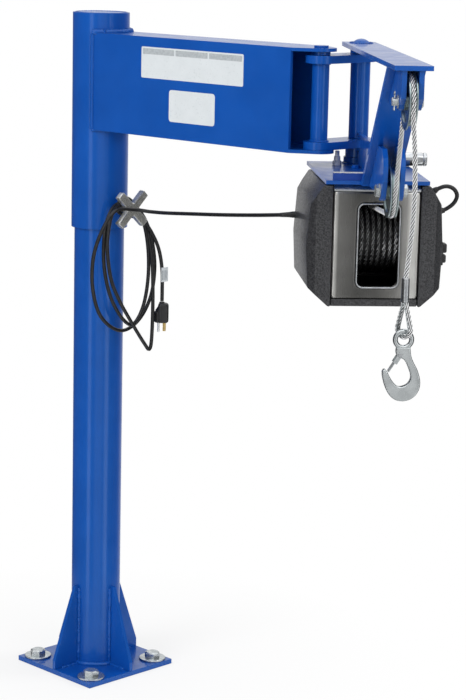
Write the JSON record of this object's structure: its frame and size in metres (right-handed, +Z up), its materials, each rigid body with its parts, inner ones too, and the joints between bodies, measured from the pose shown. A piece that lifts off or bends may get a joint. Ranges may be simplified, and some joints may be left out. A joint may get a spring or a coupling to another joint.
{
  "type": "jib crane",
  "caption": "Floor-mounted jib crane: bolted mast, turning sleeve with box boom, folding link and a lifting head with electric rope winch and hook.",
  "frame": {"origin": "centre of the floor plate's underside, on the mast's axis", "axes": "+Z up along the mast; X and Y square to the floor plate's sides, +X along the boom to within 3 degrees"},
  "size_m": [1.1866, 0.5175, 1.3693],
  "materials": {
    "blue_paint": "gloss",
    "zinc_plate": "satin",
    "pad_plastic": "matte",
    "cast_grey": "matte",
    "lead_rubber": "satin",
    "tag_paper": "matte",
    "cover_steel": "satin",
    "winch_black": "satin",
    "frame_steel": "satin",
    "sheave_metal": "satin",
    "drum_steel": "satin",
    "rope_steel": "satin"
  },
  "bodies": {
    "pedestal": {"base_plate": "blue_paint", "foot_gussets": "blue_paint", "anchor_washers": "zinc_plate", "anchor_bolts": "zinc_plate", "mast_tube": "blue_paint", "mast_top_pad": "pad_plastic"},
    "jib": {"sleeve_tube": "blue_paint", "sleeve_cap": "blue_paint", "boom_box": "blue_paint", "knob_boss": "blue_paint", "lock_knob": "cast_grey", "boom_pin": "zinc_plate", "pin_washer": "zinc_plate", "lead_loops": "lead_rubber", "lead_span": "lead_rubber", "lead_plug": "lead_rubber", "lead_tag": "tag_paper"},
    "link": {"link_upper_plate": "blue_paint", "link_lower_plate": "blue_paint", "link_tube": "blue_paint"},
    "head": {"head_pin": "blue_paint", "head_collar": "blue_paint", "head_tube": "blue_paint", "head_boss": "blue_paint", "top_plate": "blue_paint", "winch_plate": "blue_paint", "head_web": "blue_paint", "strut": "blue_paint", "upper_ears": "blue_paint", "lower_ears": "blue_paint", "upper_axle": "zinc_plate", "lower_axle": "zinc_plate", "stop_bar": "blue_paint", "index_plunger": "zinc_plate", "side_roller": "zinc_plate", "winch_cover": "cover_steel", "winch_left_end": "winch_black", "winch_right_end": "winch_black", "winch_frame": "frame_steel", "switch_lead": "lead_rubber", "rope_run": "rope_steel"},
    "upper_wheel": {"upper_sheave": "sheave_metal"},
    "lower_wheel": {"lower_sheave": "sheave_metal"},
    "drum": {"winch_drum": "drum_steel"},
    "hook_block": {"rope_fall": "rope_steel", "rope_end": "zinc_plate", "hook": "zinc_plate"},
    "latch": {"hook_latch": "zinc_plate"}
  },
  "joints": [
    {"name": "jib_swing", "type": "hinge", "parent": "pedestal", "child": "jib", "pos_m": [0, 0, 1], "axis": [0, 0, 1], "continuous": true},
    {"name": "link_fold", "type": "hinge", "parent": "jib", "child": "link", "pos_m": [0.57621, 0.0302, 1.2], "axis": [0, 0, 1], "range_deg": [-86.6, 0], "deforming": ["lead_span"]},
    {"name": "head_fold", "type": "hinge", "parent": "link", "child": "head", "pos_m": [0.57696, 0.1382, 1.2], "axis": [0, 0, 1], "range_deg": [-5, 214]},
    {"name": "hook_lift", "type": "slide", "parent": "head", "child": "hook_block", "axis": [0, 0, 1], "range_m": [-0.7, 0.18], "deforming": ["rope_fall"]},
    {"name": "upper_sheave_turn", "type": "hinge", "parent": "head", "child": "upper_wheel", "pos_m": [1.01679, -0.23218, 1.2775], "axis": [0.6441, 0.7649, 0], "range_deg": [-245, 950]},
    {"name": "lower_sheave_turn", "type": "hinge", "parent": "head", "child": "lower_wheel", "pos_m": [0.89823, -0.13234, 1.1135], "axis": [0.6441, 0.7649, 0], "range_deg": [-950, 245]},
    {"name": "drum_turn", "type": "hinge", "parent": "head", "child": "drum", "pos_m": [0.6917, 0.04158, 0.99], "axis": [0.6441, 0.7649, 0], "range_deg": [-160, 620]},
    {"name": "latch_turn", "type": "hinge", "parent": "hook_block", "child": "latch", "pos_m": [1.0446, -0.26514, 0.8709], "axis": [0.7649, -0.6441, 0], "range_deg": [0, 48], "stiffness_Nm_per_rad": 0.05, "springref_deg": -17.19}
  ],
  "couplings": [
    {"joint": "upper_sheave_turn", "follows": "hook_lift", "rad_per_m": -23.529},
    {"joint": "lower_sheave_turn", "follows": "hook_lift", "rad_per_m": 23.529},
    {"joint": "drum_turn", "follows": "hook_lift", "rad_per_m": -15.267}
  ]
}
